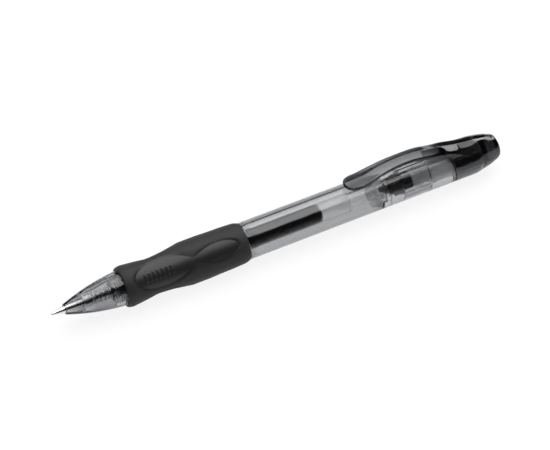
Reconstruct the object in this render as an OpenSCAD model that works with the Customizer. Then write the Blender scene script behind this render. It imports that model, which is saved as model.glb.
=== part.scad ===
// Retractable gel pen with a rubber grip and a push cap that carries the clip.
// Every piece is drawn along +Z with the writing ball's point at z = 0 and the clip
// towards +X. lay_down() then lays the pen along +X with the clip straight up.

/* [Pen] */
// Length from the ball's point to the rear end, with the tip out
pen_len = 144.5; // [144:0.1:146]
// Outer radius of the barrel, rear sleeve and cap
barrel_r = 5.6; // [5.5:0.05:5.8]
// Distance from the ball's point to the seam between barrel and rear sleeve
seam_z = 104.6; // [104:0.1:105]

/* [Nose] */
// Length of metal tip that stands out of the nose
tip_out = 3.95; // [3.5:0.05:4.2]
// Outer radius of the nose at its mouth
mouth_r = 1.62; // [1.55:0.01:1.8]
// Outer radius of the nose where it meets the grip
nose_rear_r = 5.18; // [5.1:0.02:5.3]
// Radius of the arc that the nose's side follows
nose_arc_r = 66.8; // [50:1:90]

/* [Grip] */
// Distance from the ball's point to the front of the grip
grip_front = 21.5; // [21.3:0.1:21.7]
// Distance from the ball's point to the rear of the grip
grip_rear = 60.2; // [60.0:0.1:60.4]
// Largest radius, a straight band behind the waist
grip_max_r = 6.45; // [6.3:0.05:6.6]
// Smallest radius, where the fingers rest
grip_waist_r = 5.6; // [5.5:0.01:5.7]
// Finger panels round the grip
panels = 3; // [2, 3]
// Angle from the clip to the middle of the first panel
panel_angle = 42; // [0:1:60]
// How deep the panels are pressed in
panel_depth = 0.3; // [0.15:0.01:0.33]

/* [Push cap and clip] */
// Where the cap's front edge crosses the pen's axis
skirt_z = 127.85; // [127.6:0.05:128]
// Lean of that edge, forwards on the clip's side
skirt_lean = 7; // [4:1:9]
// Rearward travel of cap and refill from tip out to tip in
travel = 5.5; // [4.8:0.1:5.6]
// Gap between the rear sleeve and the cap, which lets the cap press the catch free
press_gap = 0.5; // [0.4:0.05:0.6]

/* [Refill] */
// Radius of the writing ball
ball_r = 0.35; // [0.25:0.05:0.35]
// Outer radius of the ink tube
tube_r = 2.9; // [2.8:0.05:2.95]
// Bore radius of the ink tube
tube_bore_r = 2.1; // [1.9:0.05:2.2]
// Distance from the ball's point to the rear end of the ink
ink_end = 84.9; // [40:0.1:90]

/* [Spring] */
// Radius of the wire
wire_r = 0.2; // [0.15:0.01:0.22]
// Radius of the coil at the middle of the wire
coil_r = 1.88; // [1.8:0.01:1.9]
// Turns that lie close together at the front
close_turns = 5.5; // [4:0.5:6]
// Turns that stand open
open_turns = 3.75; // [3:0.25:5]

/* [Hidden] */
$fn = 96;
smoke = [0.36, 0.37, 0.39, 0.55];
clear = [0.85, 0.87, 0.88, 0.45];
// play between a piece that moves and what guides it
running = 0.1;
// nose and barrel thread
thread_front = 18.5;
thread_end = 25.3;
thread_pitch = 0.76;
thread_crest_r = 4.0;
thread_root_r = 3.75;
// hollow of the nose
tip_bore_r = 1.28;
spring_seat_z = 9.5;
spring_chamber_r = 2.35;
chamber_end = 13.0;
chamber_flare = 4.6;
refill_bore_r = 3.15;
// barrel under the grip and its bores
grip_seat_r = 4.7;
grip_bore_r = 3.9;
barrel_bore_r = 4.4;
spigot_r = 4.5;
spigot_len = 3.1;
// a finger panel's two lobes: [middle, half length, half width], and its half width between them
front_lobe = [33.3, 9.4, 4.35];
rear_lobe = [51.6, 7.0, 3.3];
panel_neck = 1.5;
// key between barrel and rear sleeve: where it starts round the axis, and how far it goes
key_start = 86;
key_span = 62;
key_depth = 1.4;
key_gap = 0.4;
// catch: ribs inside the rear sleeve, with a groove for each fin of the rotor and crown
fins = 4;
fin_w = 1.0;
groove_w = 1.6;
rib_front = 111.1;
rib_rear = 120.0;
rib_r = 3.05;
entry_bore_r = 4.1;
catch_bore_r = 3.9;
neck_r = 4.6;
neck_bore_r = 3.7;
neck_end = 136.6;
lip_z = 127.6;
cap_bore_r = 4.75;
cap_floor_z = 138.2;
// a height ahead of the clip, where cuts through the cap start
before_clip = 85;
plug_r = 3.4;
plug_end = 139.4;
hollow_end = 142.8;
hollow_end_r = 2.7;
// rear rim of the rotor; the crown's teeth stop just short of it, so that it is free to turn.
// The rotor's plug sits in the end of the ink tube
catch_z = 114.3;
tooth_side = 0.75;
crown_front = catch_z + tooth_side * sqrt(0.5) + 0.05;
rotor_r = 2.75;
plug_len = 0.6;
rotor_fin_front = 107.8;
pilot_r = 1.55;
pilot_end = 118.0;
crown_r = 2.85;
crown_wide_r = 3.6;
crown_wide_z = 120.7;
crown_fins = [115.4, 117.2];
crown_bead = [121.2, 121.8];
crown_core_front = 122.5;
crown_core_rear = 136;
crown_core_r = 2.4;
tube_front = 19.5;
tube_rear = 106.9;
spring_rear_z = 18.35;
holder_front = 10.3;
holder_rear = 24;
shank_r = 1.15;
tip_tail_r = 0.95;
tip_tail_end = 13.5;
ink_channel_r = 0.55;
grease_len = 9.4;

// Point at fraction u of the smooth curve from b to c, which comes from a and goes on to d
function smooth_point(a, b, c, d, u) =
    0.5 * (2 * b + (c - a) * u + (2 * a - 5 * b + 4 * c - d) * u * u + (3 * b - a - 3 * c + d) * u * u * u);
// Smooth curve through a list of points, with a number of steps between each two
function smooth_curve(p, steps) = [
    for (i = [0 : len(p) - 2]) for (k = [0 : i == len(p) - 2 ? steps : steps - 1])
        smooth_point(p[max(i - 1, 0)], p[i], p[i + 1], p[min(i + 2, len(p) - 1)], k / steps)
];
// Centre of the arc of radius r that bulges outwards from p to q
function arc_centre(p, q, r) =
    let (d = q - p, c = norm(d)) (p + q) / 2 + sqrt(r * r - c * c / 4) * [d[1], -d[0]] / c;
// Points [z, radius] of that arc
function arc_points(p, q, r, steps) =
    let (m = arc_centre(p, q, r)) [
        for (k = [0 : steps]) let (z = p[0] + (q[0] - p[0]) * k / steps)
            [z, m[1] + sqrt(r * r - (z - m[0]) * (z - m[0]))]
    ];

// Turns an outline of [z, radius] points round the pen's axis
module turned(outline) {
    rotate_extrude() polygon([for (p = outline) [p[1], p[0]]]);
}

module ring(z0, z1, r_in, r_out) {
    turned([[z0, r_in], [z0, r_out], [z1, r_out], [z1, r_in]]);
}

module cylinder_between(z0, z1, r) {
    translate([0, 0, z0]) cylinder(r = r, h = z1 - z0);
}

// Part of a ring, from one angle round the axis and over a span
module ring_sector(z0, z1, r_in, r_out, start, span) {
    rotate([0, 0, start])
        rotate_extrude(angle = span)
            translate([r_in, z0]) square([r_out - r_in, z1 - z0]);
}

// Lengthwise bars round the axis, from the axis out to radius r
module fin_set(z0, z1, r, w) {
    for (k = [0 : fins - 1])
        rotate([0, 0, k * 360 / fins])
            translate([0, -w / 2, z0])
                cube([r, w, z1 - z0]);
}

// Square bars on edge across the axis: the teeth of the catch, or the notches that take them
module tooth_bars(z, side) {
    for (k = [0 : fins - 1])
        rotate([0, 0, (k + 0.5) * 180 / fins])
            translate([0, 0, z])
                rotate([45, 0, 0])
                    cube([4 * rotor_r, side, side], center = true);
}

// Everything behind the leaning plane that crosses the axis at z
module behind_lean(z) {
    translate([0, 0, z])
        rotate([0, skirt_lean, 0])
            translate([-30, -30, 0])
                cube(60);
}

module lay_down() {
    translate([-pen_len / 2, 0, grip_max_r])
        rotate([0, 90, 0])
            rotate([0, 0, 180])
                children();
}

module nose_cone() {
    side = arc_points([tip_out + 0.2, mouth_r], [grip_front, nose_rear_r], nose_arc_r, 28);
    color(smoke) lay_down() turned(concat(
        [[tip_out, tip_bore_r + 0.12], [tip_out, mouth_r - 0.16]],
        side,
        [[grip_front + 0.6, nose_rear_r], [grip_front + 0.8, grip_seat_r], [thread_end - 0.1, grip_seat_r],
         [thread_end - 0.1, thread_crest_r + 0.05], [thread_front - 0.2, thread_crest_r + 0.05],
         [thread_front - 0.2, refill_bore_r], [chamber_end + chamber_flare, refill_bore_r],
         [chamber_end, spring_chamber_r],
         [spring_seat_z, spring_chamber_r], [spring_seat_z, tip_bore_r], [tip_out + 0.12, tip_bore_r]]));
}

module barrel() {
    crests = floor((thread_end - thread_front - 0.6) / thread_pitch);
    thread = [
        for (k = [0 : crests - 1]) each [
            [thread_front + 0.3 + k * thread_pitch, thread_root_r],
            [thread_front + 0.3 + (k + 0.45) * thread_pitch, thread_crest_r],
            [thread_front + 0.3 + (k + 0.55) * thread_pitch, thread_crest_r]
        ]
    ];
    color(smoke) lay_down() difference() {
        turned(concat(
            [[thread_front, refill_bore_r], [thread_front, thread_root_r]],
            thread,
            [[thread_front + 0.3 + crests * thread_pitch, thread_root_r], [thread_end, thread_root_r],
             [thread_end, grip_seat_r], [grip_rear + 0.05, grip_seat_r],
             [grip_rear + 0.05, barrel_r - 0.15], [grip_rear + 0.2, barrel_r], [seam_z - 0.1, barrel_r], [seam_z, barrel_r - 0.1],
             [seam_z, spigot_r], [seam_z - spigot_len - 0.1, spigot_r],
             [seam_z - spigot_len - 0.1, barrel_bore_r], [grip_rear + 2.5, barrel_bore_r],
             [grip_rear + 0.5, grip_bore_r], [thread_end + 1.5, grip_bore_r],
             [thread_end + 0.5, refill_bore_r]]));
        ring_sector(seam_z - key_depth, seam_z + 1, spigot_r - 0.3, barrel_r + 1, key_start, key_span);
    }
}

// Half width of a finger panel at a height, and the panel's outline as [height, sideways] points
function lobe(z, l) = abs(z - l[0]) < l[1] ? l[2] * sqrt(1 - pow((z - l[0]) / l[1], 2)) : 0;
function panel_half(z) =
    max(lobe(z, front_lobe), lobe(z, rear_lobe), z > front_lobe[0] && z < rear_lobe[0] ? panel_neck : 0);
function panel_outline(steps) =
    let (z0 = front_lobe[0] - front_lobe[1], z1 = rear_lobe[0] + rear_lobe[1],
         edge = [
             for (k = [0 : steps])
                 let (z = z0 + (z1 - z0) * (1 - cos(180 * k / steps)) / 2) [z, panel_half(z)]
         ])
    concat(edge, [for (k = [steps - 1 : -1 : 1]) [edge[k][0], -edge[k][1]]]);

module grip_sleeve() {
    waist = [[grip_front, 5.5], [grip_front + 0.4, 5.95], [grip_front + 1.8, 6.19], [25.7, 5.92],
             [28, 5.78], [31, grip_waist_r], [33.9, 5.74], [37.4, 6.02], [39.7, 6.2], [41, 6.36], [42.1, grip_max_r]];
    tail = [[45.3, grip_max_r], [47.5, 6.44], [50, 6.34], [54, 6.26], [56.8, 6.2],
            [grip_rear - 1.5, 6.08], [grip_rear - 0.5, 5.85], [grip_rear, 5.45]];
    outline = concat(smooth_curve(waist, 4), smooth_curve(tail, 4));
    floor_outline = [for (p = outline) [p[0], p[1] - panel_depth]];
    color([0.16, 0.16, 0.17]) lay_down() difference() {
        turned(concat(outline, [
            [grip_rear, grip_seat_r + 0.02], [grip_front + 0.85, grip_seat_r + 0.02],
            [grip_front + 0.75, nose_rear_r + 0.02], [grip_front, nose_rear_r + 0.02]]));
        difference() {
            for (k = [0 : panels - 1])
                rotate([0, 0, panel_angle + k * 360 / panels])
                    rotate([180, -90, 0])
                        translate([0, 0, grip_seat_r / 2])
                            linear_extrude(2 * grip_max_r)
                                polygon(panel_outline(24));
            turned(concat([[grip_front, 0]], floor_outline, [[grip_rear, 0]]));
        }
    }
}

module rear_sleeve() {
    body_len = skirt_z + 3 - seam_z;
    color(clear) lay_down() difference() {
        union() {
            ring(seam_z - spigot_len, seam_z + 0.5, catch_bore_r, spigot_r);
            difference() {
                ring(seam_z, seam_z + body_len, catch_bore_r, barrel_r);
                behind_lean(skirt_z - press_gap);
            }
            ring(seam_z + 1, neck_end, neck_bore_r, neck_r);
            ring_sector(seam_z - key_depth + key_gap, seam_z + 0.1, spigot_r - 0.1, barrel_r,
                        key_start + 2, key_span - 4);
            difference() {
                ring(rib_front, rib_rear, rib_r, catch_bore_r + 0.3);
                fin_set(rib_front - 1, rib_rear + 1, catch_bore_r, groove_w);
            }
        }
        cylinder_between(0, seam_z + 1.9, entry_bore_r);
        cylinder_between(seam_z, rib_front, catch_bore_r);
        cylinder_between(rib_front - 0.1, rib_rear + 0.1, rib_r);
        cylinder_between(rib_rear, lip_z, catch_bore_r);
        fin_set(rib_front - 1, rib_rear + 1, catch_bore_r - 0.05, groove_w);
    }
}

module thrust_crown() {
    color([0.42, 0.43, 0.45]) lay_down() union() {
        difference() {
            union() {
                cylinder_between(crown_front, crown_wide_z + 0.5, crown_r);
                cylinder_between(crown_wide_z, cap_floor_z, crown_wide_r);
                cylinder_between(crown_bead[0], crown_bead[1], crown_wide_r + 0.2);
                cylinder_between(cap_floor_z - 1, plug_end, plug_r);
                fin_set(crown_fins[0], crown_fins[1], crown_wide_r, fin_w);
            }
            cylinder_between(catch_z - 1, pilot_end + 1, pilot_r + 0.15);
            cylinder_between(crown_core_front, crown_core_rear, crown_core_r);
        }
        intersection() {
            tooth_bars(crown_front, tooth_side);
            ring(catch_z, crown_front + 0.1, pilot_r + 0.15, rotor_r);
        }
    }
}

module cam_rotor() {
    color([0.1, 0.1, 0.11]) lay_down() difference() {
        union() {
            cylinder_between(tube_rear - plug_len, tube_rear + 0.5, tube_bore_r - running);
            cylinder_between(tube_rear + running, catch_z, rotor_r);
            fin_set(rotor_fin_front, rib_front - running, catch_bore_r - 0.2, fin_w);
            cylinder_between(catch_z - 1, pilot_end, pilot_r);
        }
        difference() {
            tooth_bars(catch_z, tooth_side);
            cylinder_between(catch_z - 2, catch_z + 2, pilot_r);
        }
    }
}

module cap_clip() {
    outline = smooth_curve([[134.3, barrel_r], [135.9, barrel_r - 0.08], [137.9, 5.14], [140.4, 4.66],
                            [142.4, 4.1], [143.5, 3.55], [pen_len - 0.25, 2.6], [pen_len, 1.4]], 4);
    color([0.14, 0.14, 0.15, 0.8]) lay_down() difference() {
        union() {
            turned(concat([[skirt_z - 3, 0], [skirt_z - 3, barrel_r]], outline, [[pen_len, 0]]));
            clip();
        }
        difference() {
            cylinder_between(before_clip, skirt_z + 3, barrel_r + 0.12);
            behind_lean(skirt_z);
        }
        cylinder_between(before_clip, cap_floor_z, cap_bore_r);
        turned([[cap_floor_z - 1, 0], [cap_floor_z - 1, plug_r], [plug_end, plug_r],
                [hollow_end, hollow_end_r], [hollow_end, 0]]);
    }
}

// Stations along the clip: [z, half width, height of the ridge, of the shoulders, of the underside]
clip_stations = [
    [93.1, 0.5, 7.75, 7.6, 7.0], [93.6, 1.5, 7.95, 7.6, 6.75], [94.4, 2.35, 8.1, 7.55, 6.5],
    [95.9, 2.95, 8.15, 7.45, 6.4], [98.3, 3.15, 8.25, 7.4, 6.4], [100.6, 2.98, 8.65, 7.95, 6.95],
    [103.0, 2.75, 9.3, 8.6, 7.65], [106.0, 2.6, 9.95, 9.2, 8.25], [110.0, 2.42, 10.35, 9.62, 8.6],
    [114.4, 2.42, 10.4, 9.65, 8.6], [118.2, 2.65, 9.95, 9.15, 8.05], [122.1, 2.72, 9.15, 8.2, 7.1],
    [126.1, 2.95, 8.2, 7.45, 5.9], [130.4, 3.2, 7.1, 6.4, 4.2], [134.6, 3.05, 6.15, 5.55, 3.2],
    [138.0, 2.75, 5.3, 4.8, 2.5], [140.6, 2.2, 4.6, 4.1, 2.0]
];
// the bead under the clip's front end: its radius, length and place
clip_bead_r = 0.9;
clip_bead_len = 2.4;
clip_bead_z = 98;

// Half of the clip's section at a station, as [height, sideways], from the underside up to the ridge
function clip_half(s) = [
    [s[4], max(s[1] - 0.25, 0.2)], [s[4] + 0.2, s[1]], [s[3] - 0.2, s[1]],
    [s[3] + 0.05, max(s[1] - 0.3, 0.1)]
];
function clip_ring(s) =
    let (h = clip_half(s), n = len(h)) concat(
        [for (p = h) [p[0], p[1], s[0]]],
        [[s[2], 0, s[0]]],
        [for (k = [n - 1 : -1 : 0]) [h[k][0], -h[k][1], s[0]]]);

module clip() {
    rows = smooth_curve(clip_stations, 3);
    rings = [for (s = rows) clip_ring(s)];
    n = len(rings[0]);
    last = len(rings) - 1;
    sides = [
        for (i = [0 : last - 1]) for (k = [0 : n - 1])
            let (a = i * n + k, b = i * n + (k + 1) % n) each [[a, b, a + n], [b, b + n, a + n]]
    ];
    polyhedron(
        points = [for (r = rings) each r],
        faces = concat(sides, [[for (k = [n - 1 : -1 : 0]) k]], [[for (k = [0 : n - 1]) last * n + k]]),
        convexity = 4);
    // bead that would press on a pocket's cloth
    translate([clip_stations[4][4] + 0.35, 0, clip_bead_z])
        rotate([90, 0, 0])
            cylinder(r = clip_bead_r, h = clip_bead_len, center = true);
}

// ends of the spring's wire, the turns that lie close at its rear end, and the pitch of its turns
spring_front_z = spring_seat_z + 0.05 + wire_r;
spring_back_z = spring_rear_z - 0.05 - wire_r;
end_turns = 1.25;
close_pitch = 2 * wire_r + 0.04;
open_pitch = (spring_back_z - spring_front_z - (close_turns + end_turns) * close_pitch) / open_turns;
// Height of the spring's wire after a number of turns
function spring_z(t) = spring_front_z + (
    t < close_turns ? t * close_pitch
    : t < close_turns + open_turns ? close_turns * close_pitch + (t - close_turns) * open_pitch
    : close_turns * close_pitch + open_turns * open_pitch + (t - close_turns - open_turns) * close_pitch);

module return_spring() {
    per_turn = 15;
    sides = 8;
    steps = round((close_turns + open_turns + end_turns) * per_turn);
    points = [
        for (i = [0 : steps]) let (t = i / per_turn, a = 360 * t) for (k = [0 : sides - 1])
            let (q = 360 * k / sides, r = coil_r + wire_r * cos(q))
                [r * cos(a), r * sin(a), spring_z(t) + wire_r * sin(q)]
    ];
    skin = [
        for (i = [0 : steps - 1]) for (k = [0 : sides - 1])
            let (a = i * sides + k, b = i * sides + (k + 1) % sides)
                each [[a, b, a + sides], [b, b + sides, a + sides]]
    ];
    color("silver") lay_down() polyhedron(
        points = points,
        faces = concat(
            skin, [[for (k = [sides - 1 : -1 : 0]) k]], [[for (k = [0 : sides - 1]) steps * sides + k]]),
        convexity = 10);
}

module refill_tube() {
    color([0.9, 0.9, 0.9, 0.4]) lay_down() ring(tube_front, tube_rear, tube_bore_r, tube_r);
}

module ink_column() {
    color("black") lay_down() union() {
        cylinder_between(tip_tail_end, holder_rear + 0.5, ink_channel_r);
        cylinder_between(holder_rear, ink_end, tube_bore_r);
    }
}

module follower_grease() {
    color([0.8, 0.78, 0.7, 0.6]) lay_down() cylinder_between(ink_end, ink_end + grease_len, tube_bore_r);
}

module tip_holder() {
    color([0.85, 0.85, 0.83]) lay_down() turned([
        [holder_front, tip_tail_r], [holder_front, 1.35], [holder_front + 0.2, 1.45], [spring_rear_z, 1.45],
        [spring_rear_z, 2.65], [spring_rear_z + 0.15, 2.75], [tube_front, 2.75], [tube_front, tube_bore_r],
        [holder_rear, tube_bore_r], [holder_rear, ink_channel_r], [tip_tail_end, ink_channel_r],
        [tip_tail_end, tip_tail_r]]);
}

module metal_tip() {
    rim_z = 0.22;
    socket_r = ball_r + 0.02;
    color("silver") lay_down() difference() {
        turned([
            [rim_z, 0], [rim_z, ball_r + 0.07], [1.3, 0.62], [tip_out - 0.1, 1.06],
            [tip_out + 0.25, shank_r], [holder_front, shank_r], [holder_front, tip_tail_r],
            [tip_tail_end, tip_tail_r], [tip_tail_end, 0]]);
        translate([0, 0, ball_r]) sphere(r = socket_r);
        cylinder_between(ball_r, tip_tail_end + 1, 0.2);
    }
}

module writing_ball() {
    color([0.5, 0.5, 0.52]) lay_down() translate([0, 0, ball_r]) sphere(r = ball_r);
}

nose_cone();
barrel();
grip_sleeve();
rear_sleeve();
cap_clip();
thrust_crown();
cam_rotor();
return_spring();
refill_tube();
ink_column();
follower_grease();
tip_holder();
metal_tip();
writing_ball();
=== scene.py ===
import math

import bmesh
import bpy
import numpy as np
from mathutils import Matrix, Vector


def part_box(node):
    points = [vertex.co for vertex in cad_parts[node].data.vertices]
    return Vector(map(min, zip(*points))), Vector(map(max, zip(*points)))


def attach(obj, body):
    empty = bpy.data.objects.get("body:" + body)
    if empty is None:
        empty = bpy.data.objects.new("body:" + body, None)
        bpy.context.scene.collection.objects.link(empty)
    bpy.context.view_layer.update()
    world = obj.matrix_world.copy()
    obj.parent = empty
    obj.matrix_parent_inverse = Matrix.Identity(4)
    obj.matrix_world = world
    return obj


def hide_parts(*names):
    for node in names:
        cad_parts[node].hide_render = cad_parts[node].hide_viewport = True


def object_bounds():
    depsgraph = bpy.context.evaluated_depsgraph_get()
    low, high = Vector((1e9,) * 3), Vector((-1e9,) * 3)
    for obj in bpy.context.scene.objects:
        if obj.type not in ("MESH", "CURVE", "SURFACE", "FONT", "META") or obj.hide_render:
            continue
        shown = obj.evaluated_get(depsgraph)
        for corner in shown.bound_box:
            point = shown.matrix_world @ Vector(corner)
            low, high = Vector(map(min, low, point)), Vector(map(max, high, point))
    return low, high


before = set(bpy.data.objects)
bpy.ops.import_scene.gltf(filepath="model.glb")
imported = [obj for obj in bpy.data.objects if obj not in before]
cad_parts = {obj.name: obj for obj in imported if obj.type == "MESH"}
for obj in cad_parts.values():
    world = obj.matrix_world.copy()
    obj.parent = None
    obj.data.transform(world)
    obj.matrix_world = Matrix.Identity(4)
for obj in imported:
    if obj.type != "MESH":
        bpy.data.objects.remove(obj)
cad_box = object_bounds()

# Lengths are in millimetres from the ball's point along the pen, and are turned into metres
# when a mesh is made. Angles round the pen start at the clip and go towards the front, -Y.
MM = 0.001
TIP_X = cad_box[0][0]
AXIS_Z = (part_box("barrel")[0][2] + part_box("barrel")[1][2]) / 2


def along(node, end):
    """Where a CAD node starts (end 0) or ends (end 1), in mm from the ball's point."""
    return (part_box(node)[end][0] - TIP_X) / MM


PEN_LEN = along("cap_clip", 1)
BARREL_R = (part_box("barrel")[1][1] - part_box("barrel")[0][1]) / 2 / MM
GRIP_FRONT = along("grip_sleeve", 0)
GRIP_REAR = along("grip_sleeve", 1)
NOSE_FRONT = along("nose_cone", 0)
NOSE_REAR = along("nose_cone", 1)
THREAD_FRONT = along("barrel", 0)
SEAM = along("barrel", 1)
# The cap's skirt crosses the axis here and leans forward on the clip's side; the sleeve ends a gap ahead.
SKIRT = 127.85
SKIRT_SLOPE = math.tan(math.radians(7))
PRESS_GAP = 0.5


# ---------------------------------------------------------------- meshes

def place(x, r, angle):
    """A point at x mm along the pen, r mm off its axis, at an angle in radians from the clip."""
    return (TIP_X + x * MM, -r * math.sin(angle) * MM, AXIS_Z + r * math.cos(angle) * MM)


def make_object(name, verts, faces, smooth_angle=35):
    mesh = bpy.data.meshes.new(name)
    mesh.from_pydata(verts, [], faces)
    bm = bmesh.new()
    bm.from_mesh(mesh)
    bmesh.ops.remove_doubles(bm, verts=bm.verts, dist=1e-8)
    bmesh.ops.recalc_face_normals(bm, faces=bm.faces)
    bm.to_mesh(mesh)
    bm.free()
    obj = bpy.data.objects.new(name, mesh)
    bpy.context.scene.collection.objects.link(obj)
    mesh.shade_smooth()
    mesh.set_sharp_from_angle(angle=math.radians(smooth_angle))
    return obj


def soften(outline, radius=0.12, closed=True):
    """Rounds the corners of an outline of (x, r) or (x, r, tag) points."""
    pts = [(p[0], p[1], p[2] if len(p) > 2 else "") for p in outline]
    out = []
    n = len(pts)
    for i, (x, r, tag) in enumerate(pts):
        if not closed and i in (0, n - 1):
            out.append((x, r, tag))
            continue
        here = Vector((x, r))
        back = Vector(pts[i - 1][:2]) - here
        ahead = Vector(pts[(i + 1) % n][:2]) - here
        turn = math.degrees(back.angle(-ahead))
        if turn < 14:
            out.append((x, r, tag))
            continue
        cut = min(radius, 0.4 * back.length, 0.4 * ahead.length)
        a, b = here + back.normalized() * cut, here + ahead.normalized() * cut
        if back.length > 5 * cut:
            out.append((*(here + back.normalized() * cut * 2), tag))
        for k in range(5):
            u = k / 4
            p = a * (1 - u) ** 2 + here * 2 * u * (1 - u) + b * u * u
            out.append((p.x, p.y, tag))
        if ahead.length > 5 * cut:
            out.append((*(here + ahead.normalized() * cut * 2), tag))
    return out


def ramp(value, low, high):
    """0 below low, 1 above high, smooth between."""
    u = min(1, max(0, (value - low) / (high - low)))
    return u * u * (3 - 2 * u)


def even_angles(count, extra=()):
    """Angles round the pen in radians, with pairs close to each side of the extra ones."""
    angles = {round(2 * math.pi * k / count, 6) for k in range(count)}
    for degrees in extra:
        for side in (-0.15, 0.15):
            angles.add(round(math.radians((degrees + side) % 360), 6))
    return sorted(angles)


def lathe(name, outline, angles=None, warp=None, closed=True):
    """Turns an outline round the pen's axis. warp(x, r, tag, angle) may move each point."""
    angles = angles or even_angles(144)
    rows, cols = len(outline), len(angles)
    verts = []
    for p in outline:
        for a in angles:
            x, r = warp(p[0], p[1], p[2], a) if warp else (p[0], p[1])
            verts.append(place(x, r, a))
    faces = []
    for i in range(rows if closed else rows - 1):
        j = (i + 1) % rows
        for k in range(cols):
            m = (k + 1) % cols
            faces.append((i * cols + k, j * cols + k, j * cols + m, i * cols + m))
    return make_object(name, verts, faces)


def smooth_through(points, steps):
    """Catmull-Rom curve through points, with a number of steps between each two."""
    out = []
    last = len(points) - 1
    for i in range(last):
        a, b = np.array(points[max(i - 1, 0)]), np.array(points[i])
        c, d = np.array(points[i + 1]), np.array(points[min(i + 2, last)])
        for k in range(steps):
            u = k / steps
            p = 0.5 * (2 * b + (c - a) * u + (2 * a - 5 * b + 4 * c - d) * u * u
                       + (3 * b - a - 3 * c + d) * u ** 3)
            out.append(tuple(float(v) for v in p))
    out.append(tuple(float(v) for v in points[last]))
    return out


# ---------------------------------------------------------------- materials

def new_material(name):
    mat = bpy.data.materials.new(name)
    mat.use_nodes = True
    nodes = mat.node_tree.nodes
    return mat, nodes, mat.node_tree.links, nodes["Principled BSDF"]


def coords(nodes, links, scale):
    """Object coordinates, scaled so that 1 is a millimetre over the scale."""
    tex = nodes.new("ShaderNodeTexCoord")
    mapping = nodes.new("ShaderNodeMapping")
    mapping.inputs["Scale"].default_value = scale
    links.new(tex.outputs["Object"], mapping.inputs["Vector"])
    return mapping.outputs["Vector"]


def noise(nodes, links, vector, scale, detail=3.0):
    tex = nodes.new("ShaderNodeTexNoise")
    tex.inputs["Scale"].default_value = scale
    tex.inputs["Detail"].default_value = detail
    links.new(vector, tex.inputs["Vector"])
    return tex.outputs["Fac"]


def spread(nodes, links, value, low, high):
    """Spreads a 0 to 1 value over a range."""
    ranger = nodes.new("ShaderNodeMapRange")
    ranger.inputs["To Min"].default_value = low
    ranger.inputs["To Max"].default_value = high
    links.new(value, ranger.inputs["Value"])
    return ranger.outputs["Result"]


def bump(nodes, links, height, distance, strength, shader):
    node = nodes.new("ShaderNodeBump")
    node.inputs["Distance"].default_value = distance
    node.inputs["Strength"].default_value = strength
    links.new(height, node.inputs["Height"])
    links.new(node.outputs["Normal"], shader.inputs["Normal"])


def see_through(name, density, tint=(0.45, 0.46, 0.48), roughness=0.03, ior=1.49):
    """Moulded transparent plastic that darkens with depth: density is the absorption per metre."""
    mat, nodes, links, shader = new_material(name)
    shader.inputs["Base Color"].default_value = (1, 1, 1, 1)
    shader.inputs["Transmission Weight"].default_value = 1.0
    shader.inputs["IOR"].default_value = ior
    vector = coords(nodes, links, (120, 120, 120))
    flow = noise(nodes, links, vector, 1.0, 2.0)
    links.new(spread(nodes, links, flow, roughness * 0.6, roughness * 1.6), shader.inputs["Roughness"])
    absorb = nodes.new("ShaderNodeVolumeAbsorption")
    absorb.inputs["Color"].default_value = (*tint, 1)
    absorb.inputs["Density"].default_value = density
    links.new(absorb.outputs["Volume"], nodes["Material Output"].inputs["Volume"])
    return mat


def solid_plastic(name, colour, roughness, grain=900, depth=0.00002, gloss=0.5):
    mat, nodes, links, shader = new_material(name)
    shader.inputs["Specular IOR Level"].default_value = gloss
    vector = coords(nodes, links, (1, 1, 1))
    flow = noise(nodes, links, vector, grain, 3.0)
    mix = nodes.new("ShaderNodeMix")
    mix.data_type = "RGBA"
    mix.inputs["A"].default_value = (*[c * 0.85 for c in colour], 1)
    mix.inputs["B"].default_value = (*[min(1, c * 1.15) for c in colour], 1)
    links.new(flow, mix.inputs["Factor"])
    links.new(mix.outputs["Result"], shader.inputs["Base Color"])
    links.new(spread(nodes, links, flow, roughness * 0.85, roughness * 1.15), shader.inputs["Roughness"])
    bump(nodes, links, flow, depth, 0.3, shader)
    return mat


def turned_metal(name, colour, roughness):
    """Metal with fine rings from the lathe."""
    mat, nodes, links, shader = new_material(name)
    shader.inputs["Metallic"].default_value = 1.0
    vector = coords(nodes, links, (9000, 60, 60))
    rings = noise(nodes, links, vector, 1.0, 2.0)
    mix = nodes.new("ShaderNodeMix")
    mix.data_type = "RGBA"
    mix.inputs["A"].default_value = (*[c * 0.9 for c in colour], 1)
    mix.inputs["B"].default_value = (*colour, 1)
    links.new(rings, mix.inputs["Factor"])
    links.new(mix.outputs["Result"], shader.inputs["Base Color"])
    links.new(spread(nodes, links, rings, roughness * 0.7, roughness * 1.3), shader.inputs["Roughness"])
    bump(nodes, links, rings, 0.00001, 0.15, shader)
    return mat


def rubber(name, shade, roughness, gloss):
    mat, nodes, links, shader = new_material(name)
    vector = coords(nodes, links, (1, 1, 1))
    grain = noise(nodes, links, vector, 9000, 2.0)
    cloud = noise(nodes, links, vector, 160, 3.0)
    mix = nodes.new("ShaderNodeMix")
    mix.data_type = "RGBA"
    mix.inputs["A"].default_value = (shade * 0.85, shade * 0.85, shade * 0.87, 1)
    mix.inputs["B"].default_value = (shade * 1.15, shade * 1.15, shade * 1.18, 1)
    links.new(cloud, mix.inputs["Factor"])
    links.new(mix.outputs["Result"], shader.inputs["Base Color"])
    links.new(spread(nodes, links, grain, roughness * 0.88, roughness * 1.12), shader.inputs["Roughness"])
    shader.inputs["Specular IOR Level"].default_value = gloss
    bump(nodes, links, grain, 0.00003, 0.35, shader)
    return mat


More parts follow.
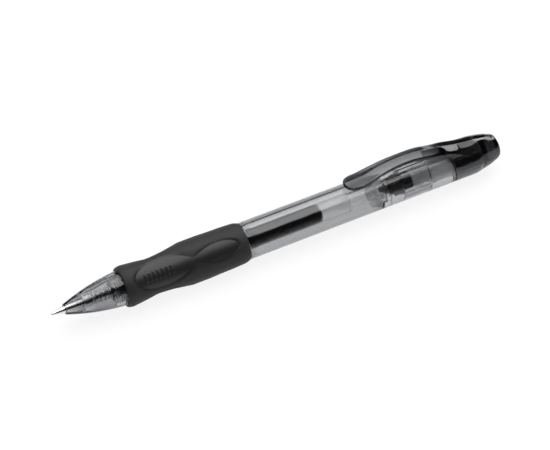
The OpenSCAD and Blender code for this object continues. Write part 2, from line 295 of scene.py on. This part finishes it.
SMOKE = see_through("smoke_plastic", 620)
DARK_SMOKE = see_through("dark_smoke_plastic", 1700, (0.3, 0.31, 0.33))
CLEAR = see_through("clear_plastic", 330)
TUBE = see_through("tube_plastic", 60, (0.6, 0.6, 0.6), 0.05)
GREASE = see_through("grease", 60, (0.7, 0.68, 0.6), 0.02, 1.47)
RUBBER = rubber("grip_rubber", 0.024, 0.58, 0.22)
PANEL_RUBBER = rubber("grip_panel_rubber", 0.014, 0.37, 0.4)
INK = solid_plastic("gel_ink", (0.004, 0.004, 0.005), 0.3, gloss=0.05)
ROTOR = solid_plastic("black_plastic", (0.012, 0.012, 0.013), 0.4)
CROWN = solid_plastic("grey_plastic", (0.85, 0.855, 0.86), 0.35)
# Painted shade: a dark grey for the crown's part inside the cap, standing in for the shade inside the dark
# cap.
PLUG_PAINTED_SHADE = solid_plastic("crown_painted_shade", (0.03, 0.03, 0.032), 0.4)
HOLDER = see_through("holder_plastic", 120, (0.6, 0.6, 0.58), 0.3, 1.45)
TIP_METAL = turned_metal("tip_metal", (0.78, 0.78, 0.79), 0.16)
BALL_METAL = turned_metal("ball_metal", (0.45, 0.45, 0.47), 0.2)
SPRING_STEEL = turned_metal("spring_steel", (0.74, 0.74, 0.75), 0.18)


def finish_piece(piece, body, node, material):
    piece.data.materials.clear()
    piece.data.materials.append(material)
    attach(piece, body)
    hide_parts(node)


# ---------------------------------------------------------------- nose and barrel

NOSE_ARC_R = 66.8
NOSE_REAR_R = 5.18
MOUTH_R = 1.62
MOUTH_BORE_R = 1.28
SPRING_SEAT = 9.5
CHAMBER_REAR = 13.0
CHAMBER_R = 2.35
SOCKET_R = 4.05
GRIP_SEAT_R = 4.7
THREAD_REAR = 24.9
THREAD_PITCH = 0.76
THREAD_ROOT_R = 3.75
THREAD_DEPTH = 0.25
SHOULDER = 25.3
REFILL_BORE_R = 3.15
GRIP_BORE_R = 3.9
BARREL_BORE_R = 4.4
SPIGOT_FRONT = 101.4
SPIGOT_R = 4.5
# Where the notch in the barrel's rim starts and ends, in degrees round the pen. The sleeve's key in it
# is shorter by KEY_GAP, and narrower by KEY_SIDE degrees on each side.
KEY = (86, 148)
KEY_DEPTH = 1.4
KEY_GAP = 0.4
KEY_SIDE = 2


def nose_side(steps):
    """The nose's outside, an arc from its mouth to the grip."""
    p, q = np.array([NOSE_FRONT + 0.2, MOUTH_R]), np.array([GRIP_FRONT, NOSE_REAR_R])
    d = q - p
    chord = float(np.linalg.norm(d))
    centre = (p + q) / 2 + math.sqrt(NOSE_ARC_R ** 2 - chord ** 2 / 4) * np.array([d[1], -d[0]]) / chord
    out = []
    for k in range(steps + 1):
        x = p[0] + d[0] * k / steps
        out.append((x, centre[1] + math.sqrt(NOSE_ARC_R ** 2 - (x - centre[0]) ** 2)))
    return out


def build_nose():
    front = [(NOSE_FRONT, 1.4), (NOSE_FRONT, MOUTH_R - 0.14)]
    rear = [(GRIP_FRONT + 0.6, NOSE_REAR_R), (GRIP_FRONT + 0.8, GRIP_SEAT_R), (NOSE_REAR, GRIP_SEAT_R),
            (NOSE_REAR, SOCKET_R), (THREAD_FRONT - 0.2, SOCKET_R), (THREAD_FRONT - 0.2, REFILL_BORE_R),
            (17.6, REFILL_BORE_R), (CHAMBER_REAR, CHAMBER_R), (SPRING_SEAT, CHAMBER_R),
            (SPRING_SEAT, MOUTH_BORE_R), (NOSE_FRONT + 0.12, MOUTH_BORE_R)]
    piece = lathe("nose_shell", soften(front + nose_side(30) + rear, 0.1))
    finish_piece(piece, "barrel_body", "nose_cone", SMOKE)


def in_span(angle, span, margin=0.0):
    """Whether an angle is in a span of degrees, by at least a margin."""
    degrees = math.degrees(angle) % 360
    return span[0] + margin <= degrees <= span[1] - margin


def build_barrel():
    thread_start = THREAD_FRONT + 0.3
    rows = 52
    thread = [
        (thread_start + (THREAD_REAR - thread_start) * k / rows, THREAD_ROOT_R, "thread")
        for k in range(rows + 1)
    ]
    shoulder = [(SHOULDER, THREAD_ROOT_R), (SHOULDER, GRIP_SEAT_R), (GRIP_REAR + 0.05, GRIP_SEAT_R),
                (GRIP_REAR + 0.05, BARREL_R)]
    shell = [(63 + 2.5 * k, BARREL_R) for k in range(17)]
    rim = [(SEAM, BARREL_R, "rim"), (SEAM, SPIGOT_R, "rim"), (SPIGOT_FRONT, SPIGOT_R),
           (SPIGOT_FRONT, BARREL_BORE_R)]
    bore = [(98 - 2.5 * k, BARREL_BORE_R) for k in range(15)]
    inner = [(GRIP_REAR + 2.5, BARREL_BORE_R), (GRIP_REAR + 0.5, GRIP_BORE_R),
             (SHOULDER + 1.5, GRIP_BORE_R), (SHOULDER + 0.5, REFILL_BORE_R), (THREAD_FRONT, REFILL_BORE_R)]
    outline = soften([(THREAD_FRONT, THREAD_ROOT_R - 0.1)] + thread + shoulder + shell + rim + bore + inner)

    def warp(x, r, tag, angle):
        if tag == "thread":
            turn = (x / THREAD_PITCH - angle / (2 * math.pi)) % 1.0
            fade = min(1, (x - thread_start) / 0.4, (THREAD_REAR - x) / 0.4)
            r += THREAD_DEPTH * max(0, fade) * max(0, 1 - abs(2 * turn - 1) * 1.25)
        elif tag == "rim" and in_span(angle, KEY):
            x -= KEY_DEPTH
        return x, r

    piece = lathe("barrel_shell", outline, even_angles(144, KEY), warp)
    finish_piece(piece, "barrel_body", "barrel", SMOKE)


# ---------------------------------------------------------------- rear sleeve

RIB_FRONT = 111.1
RIB_REAR = 120.0
RIB_R = 3.05
GROOVE_HALF_W = 0.8
GROOVE_SIDE = 8
CATCH_BORE_R = 3.9
CATCH_FRONT = 106.5
CATCH_REAR = 127.6
SPIGOT_BORE_R = 4.1
NECK_R = 4.6
NECK_BORE_R = 3.7


def build_rear_sleeve():
    groove = math.degrees(math.asin(GROOVE_HALF_W / CATCH_BORE_R))
    edges = [90 * k + side * groove for k in range(4) for side in (-1, 1)]
    neck_end = along("rear_sleeve", 1)
    outline = soften([
        (SPIGOT_FRONT + 0.1, SPIGOT_BORE_R), (SPIGOT_FRONT + 0.1, SPIGOT_R),
        (SEAM, SPIGOT_R, "lug"), (SEAM, BARREL_R, "lug"),
        (SEAM + 3, BARREL_R), (116, BARREL_R), (124, BARREL_R),
        (SKIRT - PRESS_GAP, BARREL_R, "slant"), (SKIRT - PRESS_GAP, NECK_R, "slant"),
        (neck_end, NECK_R), (neck_end, NECK_BORE_R), (CATCH_REAR, NECK_BORE_R), (CATCH_REAR, CATCH_BORE_R),
        (RIB_REAR, CATCH_BORE_R), (RIB_REAR, RIB_R, "rib"), (RIB_FRONT, RIB_R, "rib"),
        (RIB_FRONT, CATCH_BORE_R), (CATCH_FRONT, CATCH_BORE_R), (CATCH_FRONT - 0.1, SPIGOT_BORE_R)], 0.3)

    def warp(x, r, tag, angle):
        if tag == "lug" and in_span(angle, KEY, KEY_SIDE):
            x -= KEY_DEPTH - KEY_GAP
        elif tag == "slant":
            x -= SKIRT_SLOPE * r * math.cos(angle)
        elif tag == "rib":
            r += (CATCH_BORE_R - 0.02 - r) * (1 - ramp(from_quarter(angle), groove, groove + GROOVE_SIDE))
        return x, r

    edges += [KEY[0] + KEY_SIDE, KEY[1] - KEY_SIDE]
    piece = lathe("rear_sleeve_shell", outline, even_angles(144, edges), warp)
    finish_piece(piece, "barrel_body", "rear_sleeve", CLEAR)


# ---------------------------------------------------------------- grip

PANEL_CENTRES = (42, 162, 282)
# Middle, half length and half width of the two ovals that a finger panel is made of
LOBES = ((33.3, 9.4, 5.1), (50.7, 7.1, 3.5))
NECK_BLEND = 5.6
PANEL_DEPTH = 0.27
BEVEL = 0.9
LIP = 0.05
RIDGES = 7
RIDGE_FRONT = 27.9
RIDGE_PITCH = 1.36
RIDGE_HEIGHT = 0.19
RIDGE_HALF_LEN = 1.35
RIDGE_LEAN = 0.12
# The shinier finish starts this far inside a panel's outline
SHINE_INSET = 0.25


def from_oval(x, across, oval):
    """About how far a point is outside an oval (middle, half length, half width); negative inside."""
    u, v = x - oval[0], across
    k = max(math.hypot(u / oval[1], v / oval[2]), 1e-6)
    return k * (k - 1) / max(math.hypot(u / oval[1] ** 2, v / oval[2] ** 2), 1e-6)


def from_panel(x, across):
    """About how far a point is outside a panel's outline, two ovals that run together."""
    front, rear = (from_oval(x, across, oval) for oval in LOBES)
    h = max(NECK_BLEND - abs(front - rear), 0) / NECK_BLEND
    return min(front, rear) - h * h * NECK_BLEND / 4


def panel_depth(x, across):
    """How far the grip is hollowed at x, at a distance across a panel."""
    edge = from_panel(x, across)
    depth = PANEL_DEPTH * ramp(-edge, 0, BEVEL)
    depth -= LIP * (1 - ramp(abs(edge - 0.35), 0.0, 0.45))
    for k in range(RIDGES):
        off = x - RIDGE_FRONT - RIDGE_PITCH * k - RIDGE_LEAN * across
        half = RIDGE_HALF_LEN - 0.06 * abs(k - RIDGES // 2)
        bar = math.hypot(max(abs(across) - half, 0) / 0.35, off / 0.34)
        depth -= RIDGE_HEIGHT * (1 - ramp(bar, 0.2, 1.0))
    return depth


def across_panel(r, angle):
    """How far a point is from the middle line of the nearest panel, round the grip."""
    turns = [math.radians((math.degrees(angle) - c + 180) % 360 - 180) for c in PANEL_CENTRES]
    return min((turn * r for turn in turns), key=abs)


def build_grip():
    side = [(GRIP_FRONT, 5.5), (GRIP_FRONT + 0.12, 5.75), (GRIP_FRONT + 0.45, 5.98), (23.3, 6.19),
            (25.7, 5.92), (28, 5.78), (31, 5.6), (33.9, 5.74), (37.4, 6.02), (39.7, 6.2), (41, 6.36),
            (42.1, 6.45), (45.3, 6.45), (47.5, 6.44), (50, 6.34), (54, 6.26), (56.8, 6.2), (58.7, 6.08),
            (59.7, 5.85), (GRIP_REAR - 0.12, 5.65), (GRIP_REAR, 5.4)]
    outer = [(x, r, "skin") for x, r in smooth_through(side, 14)]
    bore = GRIP_SEAT_R + 0.02
    inner = [(GRIP_REAR, bore), (GRIP_FRONT + 0.85, bore), (GRIP_FRONT + 0.75, 5.2), (GRIP_FRONT, 5.2)]

    def warp(x, r, tag, angle):
        if tag == "skin":
            r -= panel_depth(x, across_panel(r, angle))
        return x, r

    piece = lathe("grip_skin", outer + [(x, r, "") for x, r in inner], even_angles(360), warp)
    finish_piece(piece, "barrel_body", "grip_sleeve", RUBBER)
    piece.data.materials.append(PANEL_RUBBER)
    for face in piece.data.polygons:
        middle = face.center
        x, height = (middle.x - TIP_X) / MM, middle.z - AXIS_Z
        r = math.hypot(middle.y, height) / MM
        outside = r > GRIP_SEAT_R + 0.2
        if outside and from_panel(x, across_panel(r, math.atan2(-middle.y, height))) < -SHINE_INSET:
            face.material_index = 1


# ---------------------------------------------------------------- push cap and clip

# x, half width, height of the ridge, of the shoulders, of the underside
CLIP_STATIONS = [
    (93.1, 0.5, 7.75, 7.6, 7.0), (93.6, 1.5, 7.95, 7.6, 6.75), (94.4, 2.35, 8.1, 7.55, 6.5),
    (95.9, 2.95, 8.15, 7.45, 6.4), (98.3, 3.15, 8.25, 7.4, 6.4), (100.6, 2.98, 8.65, 7.95, 6.95),
    (103.0, 2.75, 9.3, 8.6, 7.65), (106.0, 2.6, 9.95, 9.2, 8.25), (110.0, 2.42, 10.35, 9.62, 8.6),
    (114.4, 2.42, 10.4, 9.65, 8.6), (118.2, 2.65, 9.95, 9.15, 8.05), (122.1, 2.72, 9.15, 8.2, 7.1),
    (126.1, 2.95, 8.2, 7.45, 5.9), (130.4, 3.2, 7.1, 6.4, 4.2), (134.6, 3.05, 6.15, 5.55, 3.2),
    (138.0, 2.75, 5.3, 4.8, 2.5), (140.6, 2.2, 4.6, 4.1, 2.0), (142.6, 1.4, 3.9, 3.5, 1.5)]
CAP_OUTLINE = [(120, BARREL_R), (131, BARREL_R), (134.3, BARREL_R), (135.9, BARREL_R - 0.08), (137.9, 5.14),
               (140.4, 4.62), (142.4, 4.06), (143.5, 3.5), (144.1, 2.8), (PEN_LEN + 0.05, 0.6)]
CAP_BORE_R = 4.75
CAP_FLOOR = 138.2
PLUG_R = 3.4
PLUG_END = 139.4
HOLLOW_END = 142.8
HOLLOW_END_R = 2.7


def soft_max(a, b, k):
    h = np.maximum(k - np.abs(a - b), 0) / k
    return np.maximum(a, b) + h * h * k / 4


def soft_min(a, b, k):
    return -soft_max(-a, -b, k)


def clip_field(x, y, z):
    """Negative inside the clip. y and z are from the pen's axis, in mm."""
    table = np.array(smooth_through(CLIP_STATIONS, 8))
    half_w, ridge, shoulder, under = (np.interp(x, table[:, 0], table[:, k]) for k in (1, 2, 3, 4))
    rise = (ridge - shoulder) / np.maximum(half_w, 0.3)
    roof = (z - ridge + rise * np.abs(y)) / np.sqrt(1 + rise * rise)
    side = np.abs(y) - half_w
    base = under - z
    edge = np.interp(x, (118, 126, 134, 140), (0.35, 0.6, 2.0, 3.0))
    field = soft_max(roof, side, edge)
    field = soft_max(field, base, 0.25)
    ends = np.maximum(table[0, 0] - x, x - table[-1, 0])
    return soft_max(field, ends, 0.4)


def cap_field(x, y, z):
    """Negative inside the push cap's one moulding."""
    profile = np.array(smooth_through(CAP_OUTLINE, 10))
    r = np.hypot(y, z)
    wall = r - np.interp(x, profile[:, 0], profile[:, 1])
    wall = soft_max(wall, x - PEN_LEN, 0.5)
    wall = np.maximum(wall, 119.0 - x)
    melt = np.interp(x, (119, 127, 136, 141), (0.6, 1.0, 2.4, 3.6))
    body = soft_min(wall, clip_field(x, y, z), melt)
    ahead = x - (SKIRT - SKIRT_SLOPE * z)
    clearance = np.maximum(r - BARREL_R - 0.12, ahead)
    body = soft_max(body, -clearance, 0.2)
    stops, bores = (CAP_FLOOR - 0.8, PLUG_END, HOLLOW_END), (CAP_BORE_R, PLUG_R + 0.03, HOLLOW_END_R)
    inside = r - np.interp(x, stops, bores)
    inside = soft_max(inside, x - HOLLOW_END, 1.0)
    return np.maximum(body, -inside)


def net_surface(name, field, low, high, cell):
    """Surface nets: a point in each grid cell that the field's zero crosses, moved onto the zero."""
    axes = [np.arange(low[k], high[k] + cell, cell) for k in range(3)]
    grid = np.meshgrid(*axes, indexing="ij")
    value = field(*grid)
    inside = value < 0
    shape = tuple(n - 1 for n in inside.shape)
    total = np.zeros((*shape, 3))
    count = np.zeros(shape)
    corners = [(i, j, k) for i in (0, 1) for j in (0, 1) for k in (0, 1)]

    def part(array, c):
        return array[c[0]:c[0] + shape[0], c[1]:c[1] + shape[1], c[2]:c[2] + shape[2]]

    for a in corners:
        for axis in range(3):
            if a[axis]:
                continue
            b = tuple(1 if k == axis else a[k] for k in range(3))
            va, vb = part(value, a), part(value, b)
            cross = (va < 0) != (vb < 0)
            t = np.where(cross, va / np.where(va == vb, 1, va - vb), 0)
            for k in range(3):
                offset = a[k] + (t if k == axis else 0)
                total[..., k] += np.where(cross, offset, 0)
            count += cross
    active = count > 0
    index = -np.ones(shape, int)
    index[active] = np.arange(active.sum())
    where = np.argwhere(active)
    points = np.array(low) + (where + total[active] / count[active][:, None]) * cell
    step = 0.01
    shifts = step * np.eye(3)
    for _ in range(6):
        v = field(*points.T)
        grad = np.stack([
            (field(*(points + shift).T) - field(*(points - shift).T)) / (2 * step) for shift in shifts], -1)
        size = np.maximum((grad ** 2).sum(-1), 0.2)
        move = (v / size)[:, None] * grad
        length = np.maximum(np.linalg.norm(move, axis=-1, keepdims=True), 1e-9)
        points -= move * np.minimum(1, 0.5 * cell / length)
    faces = []
    for axis in range(3):
        u, w = [k for k in range(3) if k != axis]
        core = [slice(1, -1)] * 3
        core[axis] = slice(0, -1)
        nxt = list(core)
        nxt[axis] = slice(1, None)
        change = inside[tuple(core)] != inside[tuple(nxt)]
        for cell_at in np.argwhere(change):
            base = cell_at + np.array([0 if k == axis else 1 for k in range(3)])
            quad = []
            for du, dw in ((0, 0), (1, 0), (1, 1), (0, 1)):
                at = base.copy()
                at[u] -= du
                at[w] -= dw
                quad.append(int(index[tuple(at)]))
            if min(quad) >= 0:
                faces.append(tuple(quad))
    verts = [(TIP_X + p[0] * MM, p[1] * MM, AXIS_Z + p[2] * MM) for p in points]
    return make_object(name, verts, faces, 50)


def build_cap():
    cell = 0.2
    piece = net_surface("cap_and_clip", cap_field, (90.0, -6.3, -6.3), (145.2, 6.3, 11.0), cell)
    finish_piece(piece, "cap_body", "cap_clip", DARK_SMOKE)


# ---------------------------------------------------------------- spring and refill

TUBE_BORE_R = 2.08
TUBE_R = 2.9
INK_CHANNEL_R = 0.55
TIP_TAIL_R = 0.95
TIP_SHANK_R = 1.15
TIP_TAIL_END = 13.5
HOLDER_FRONT = 10.3
HOLDER_NECK_R = 1.45
HOLDER_SHOULDER = 18.35
HOLDER_R = 2.75
HOLDER_REAR = 24
BALL_R = 0.35


def build_spring():
    """Close turns at the front, open turns, then close turns again."""
    wire, coil = 0.2, 1.88
    front, rear = 9.75, 18.1
    close, opened, end = 5.5, 3.75, 1.25
    close_pitch = 2 * wire + 0.04
    open_pitch = (rear - front - (close + end) * close_pitch) / opened
    per_turn, sides = 40, 14
    steps = int((close + opened + end) * per_turn)
    verts = []
    for i in range(steps + 1):
        t = i / per_turn
        x = front + min(t, close) * close_pitch + min(max(t - close, 0), opened) * open_pitch
        x += max(t - close - opened, 0) * close_pitch
        for k in range(sides):
            q = 2 * math.pi * k / sides
            verts.append(place(x + wire * math.sin(q), coil + wire * math.cos(q), 2 * math.pi * t))
    faces = [
        (i * sides + k, i * sides + (k + 1) % sides, (i + 1) * sides + (k + 1) % sides, (i + 1) * sides + k)
        for i in range(steps) for k in range(sides)
    ]
    faces += [tuple(range(sides)), tuple(steps * sides + k for k in range(sides))]
    piece = make_object("spring_coil", verts, faces, 60)
    finish_piece(piece, "barrel_body", "return_spring", SPRING_STEEL)


def build_tube():
    front, rear = along("refill_tube", 0), along("refill_tube", 1)
    outline = [(front, TUBE_BORE_R), (front, TUBE_R)] + [(front + 4 * k, TUBE_R) for k in range(1, 20)]
    outline += [(rear, TUBE_R), (rear, TUBE_BORE_R)] + [(rear - 4 * k, TUBE_BORE_R) for k in range(1, 20)]
    piece = lathe("ink_tube", soften(outline, 0.1), even_angles(96))
    finish_piece(piece, "refill_body", "refill_tube", TUBE)


def build_ink():
    """A rod with a domed end, which fills the tube and the channel to the tip."""
    end, r = along("ink_column", 1), TUBE_BORE_R + 0.02
    rod = soften([
        (TIP_TAIL_END, 0), (TIP_TAIL_END, INK_CHANNEL_R), (HOLDER_REAR, INK_CHANNEL_R), (HOLDER_REAR, r),
        (50, r), (end - 1.4, r)], 0.1, closed=False)
    dome = [(end - 1.0, r, ""), (end - 0.6, 2.0, ""), (end - 0.2, 1.75, ""), (end + 0.1, 1.3, ""),
            (end + 0.27, 0.7, ""), (end + 0.3, 0, "")]
    piece = lathe("ink", rod + dome, even_angles(96), closed=False)
    finish_piece(piece, "refill_body", "ink_column", INK)


def build_grease():
    front, rear, r = along("ink_column", 1) - 1.2, along("follower_grease", 1), TUBE_BORE_R + 0.01
    outline = soften([(front, 0), (front, r), (rear, r), (rear, 0)], 0.1, closed=False)
    piece = lathe("grease", outline, even_angles(96), closed=False)
    finish_piece(piece, "refill_body", "follower_grease", GREASE)


def build_holder():
    outline = soften([
        (HOLDER_FRONT, TIP_TAIL_R + 0.01), (HOLDER_FRONT, 1.3), (HOLDER_FRONT + 0.2, HOLDER_NECK_R),
        (HOLDER_SHOULDER, HOLDER_NECK_R), (HOLDER_SHOULDER, 2.62), (HOLDER_SHOULDER + 0.15, HOLDER_R),
        (19.48, HOLDER_R), (19.48, TUBE_BORE_R - 0.01), (HOLDER_REAR, TUBE_BORE_R - 0.01),
        (HOLDER_REAR, INK_CHANNEL_R + 0.01), (TIP_TAIL_END + 0.02, INK_CHANNEL_R + 0.01),
        (TIP_TAIL_END + 0.02, TIP_TAIL_R + 0.01)], 0.08)
    piece = lathe("holder", outline, even_angles(96))
    finish_piece(piece, "refill_body", "tip_holder", HOLDER)


def build_tip():
    outline = soften([
        (0.22, 0.36), (0.22, 0.40), (0.3, 0.43), (1.3, 0.62), (3.85, 1.06), (4.2, TIP_SHANK_R),
        (HOLDER_FRONT, TIP_SHANK_R), (HOLDER_FRONT, TIP_TAIL_R), (TIP_TAIL_END, TIP_TAIL_R),
        (TIP_TAIL_END, 0.2), (0.8, 0.2), (0.62, 0.3), (0.45, 0.36)], 0.04)
    piece = lathe("tip_cone", outline, even_angles(96))
    finish_piece(piece, "refill_body", "metal_tip", TIP_METAL)


def build_ball():
    steps = 24
    turns = [math.pi * k / steps for k in range(steps + 1)]
    arc = [(BALL_R - BALL_R * math.cos(t), BALL_R * math.sin(t), "") for t in turns]
    piece = lathe("ball", arc, even_angles(48), closed=False)
    finish_piece(piece, "ball_body", "writing_ball", BALL_METAL)


# ---------------------------------------------------------------- catch

FIN_HALF_W = 0.5
ROTOR_STEM_R = 2.0
ROTOR_R = 2.75
ROTOR_FIN_R = 3.7
ROTOR_FINS = (107.8, 111.0)
ROTOR_RIM = 114.3
PILOT_R = 1.55
PILOT_HOLE_R = 1.7
PILOT_HOLE_END = 118.5
CROWN_R = 2.85
CROWN_FINS = (115.4, 117.2)
CROWN_STEP = 120.7
CROWN_REAR_R = 3.6
BEAD = (121.2, 121.8)
BEAD_R = 3.8
# Where the crown's painted shade starts, inside the cap.
PAINTED_SHADE_FRONT = 128.5


def from_quarter(angle):
    """Degrees between an angle and the nearest quarter turn from the clip."""
    return 45 - abs(math.degrees(angle) % 90 - 45)


def fin_stretch(ends, middle, r):
    """The stretch of an outline that fins_warp lifts."""
    front, rear = ends
    return [(front, r), (front + 0.02, r, "fin"), (middle, r, "fin"), (rear - 0.02, r, "fin"), (rear, r)]


def fins_warp(r_core, r_fin):
    """Lifts the points tagged fin to the fin's radius, at four places round the pen."""
    span = math.degrees(math.asin(FIN_HALF_W / r_fin))

    def warp(x, r, tag, angle):
        if tag == "fin":
            r = r_core + (r_fin - r_core) * (1 - ramp(from_quarter(angle), span - 2, span + 1))
        return x, r

    return warp


def build_rotor():
    front, rear = along("cam_rotor", 0), along("cam_rotor", 1)
    seat = along("refill_tube", 1) + 0.1
    stem = [(front, 0), (front, ROTOR_STEM_R), (seat, ROTOR_STEM_R), (seat, ROTOR_R)]
    pilot = [(ROTOR_RIM, ROTOR_R), (ROTOR_RIM - 0.4, PILOT_R + 0.01), (ROTOR_RIM, PILOT_R), (rear, PILOT_R),
             (rear, 0)]
    outline = soften(stem + fin_stretch(ROTOR_FINS, 109.4, ROTOR_R) + pilot, 0.12, closed=False)
    piece = lathe("rotor", outline, even_angles(192), fins_warp(ROTOR_R, ROTOR_FIN_R), closed=False)
    finish_piece(piece, "rotor_body", "cam_rotor", ROTOR)


def build_crown():
    front, rear = along("thrust_crown", 0), along("thrust_crown", 1)
    nose = [(front + 0.4, PILOT_HOLE_R), (front + 0.05, 2.0), (front + 0.05, 2.7)]
    stem = [(CROWN_STEP, CROWN_R), (CROWN_STEP, CROWN_REAR_R), (BEAD[0], CROWN_REAR_R), (BEAD[0], BEAD_R),
            (BEAD[1], BEAD_R), (BEAD[1], CROWN_REAR_R), (PAINTED_SHADE_FRONT, CROWN_REAR_R),
            (PAINTED_SHADE_FRONT + 0.1, CROWN_REAR_R), (CAP_FLOOR, CROWN_REAR_R)]
    plug = [(CAP_FLOOR, PLUG_R), (rear, PLUG_R), (rear, 0)]
    outline = soften(nose + fin_stretch(CROWN_FINS, 116.4, CROWN_R) + stem + plug, 0.12, closed=False)
    hole = [(PILOT_HOLE_END, 0, ""), (PILOT_HOLE_END, PILOT_HOLE_R, ""), (117.0, PILOT_HOLE_R, "")]
    warp = fins_warp(CROWN_R, CROWN_REAR_R)
    piece = lathe("crown", hole + outline, even_angles(192), warp, closed=False)
    finish_piece(piece, "cap_body", "thrust_crown", CROWN)
    # The crown's faces inside the cap get the dark grey painted shade; the front of the crown keeps its
    # light grey.
    piece.data.materials.append(PLUG_PAINTED_SHADE)
    for face in piece.data.polygons:
        if (face.center.x - TIP_X) / MM > PAINTED_SHADE_FRONT:
            face.material_index = 1


# ---------------------------------------------------------------- camera, floor and light

def build_camera():
    """A long lens on the middle of the pen; the aim is moved a little across the view."""
    azimuth, elevation, roll = (math.radians(v) for v in (-25.23, 45.13, -2.28))
    distance = 0.750
    back = Vector((math.sin(azimuth) * math.cos(elevation), -math.cos(azimuth) * math.cos(elevation),
                   math.sin(elevation)))
    right = Vector((math.cos(azimuth), math.sin(azimuth), 0))
    up = back.cross(right)
    right, up = (right * math.cos(roll) + up * math.sin(roll), up * math.cos(roll) - right * math.sin(roll))
    aim = Vector((TIP_X + PEN_LEN * MM / 2, 0, AXIS_Z)) - right * 1.51 * MM + up * 0.75 * MM
    data = bpy.data.cameras.new("camera")
    data.lens = 169.4
    data.clip_start = 0.05
    camera = bpy.data.objects.new("camera", data)
    camera.matrix_world = Matrix((
        (right.x, up.x, back.x, aim.x + back.x * distance),
        (right.y, up.y, back.y, aim.y + back.y * distance),
        (right.z, up.z, back.z, aim.z + back.z * distance),
        (0, 0, 0, 1)))
    bpy.context.scene.collection.objects.link(camera)
    bpy.context.scene.camera = camera


def build_floor():
    half, level = 4.0, -0.0002
    mesh = bpy.data.meshes.new("floor")
    corners = [(x * half, y * half, level) for x, y in ((-1, -1), (1, -1), (1, 1), (-1, 1))]
    mesh.from_pydata(corners, [], [(0, 1, 2, 3)])
    floor = bpy.data.objects.new("floor", mesh)
    bpy.context.scene.collection.objects.link(floor)
    mat, nodes, links, shader = new_material("floor_paper")
    shader.inputs["Base Color"].default_value = (0.12, 0.12, 0.12, 1)
    shader.inputs["Roughness"].default_value = 0.9
    shader.inputs["Specular IOR Level"].default_value = 0.0
    shader.inputs["Emission Color"].default_value = (1, 1, 1, 1)
    shader.inputs["Emission Strength"].default_value = 0.88
    mesh.materials.append(mat)


def soft_box(name, centre, aim, width, height, radiance):
    """A rectangular light; radiance is what a mirror of it would show, where white is 1."""
    data = bpy.data.lights.new(name, "AREA")
    data.shape = "RECTANGLE"
    data.size, data.size_y = width, height
    data.energy = radiance * math.pi * width * height
    light = bpy.data.objects.new(name, data)
    light.location = centre
    light.rotation_euler = (Vector(aim) - Vector(centre)).to_track_quat("-Z", "Y").to_euler()
    bpy.context.scene.collection.objects.link(light)


def build_light():
    soft_box("overhead", (0.07, 0.16, 0.62), (0.02, 0.03, 0), 0.82, 1.0, 3.0)
    soft_box("rear", (0.67, 0.242, 0.476), (0.07, 0, 0.006), 0.5, 0.22, 6.0)
    world = bpy.data.worlds.new("studio")
    bpy.context.scene.world = world
    world.use_nodes = True
    shade = world.node_tree.nodes["Background"]
    shade.inputs["Color"].default_value = (0.9, 0.9, 0.9, 1)
    shade.inputs["Strength"].default_value = 0.06
    bpy.context.scene.view_settings.view_transform = "Standard"
    bpy.context.scene.view_settings.look = "None"


build_camera()
build_floor()
build_light()
build_nose()
build_barrel()
build_rear_sleeve()
build_grip()
build_cap()
build_spring()
build_tube()
build_rotor()
build_crown()
build_ink()
build_grease()
build_holder()
build_tip()
build_ball()
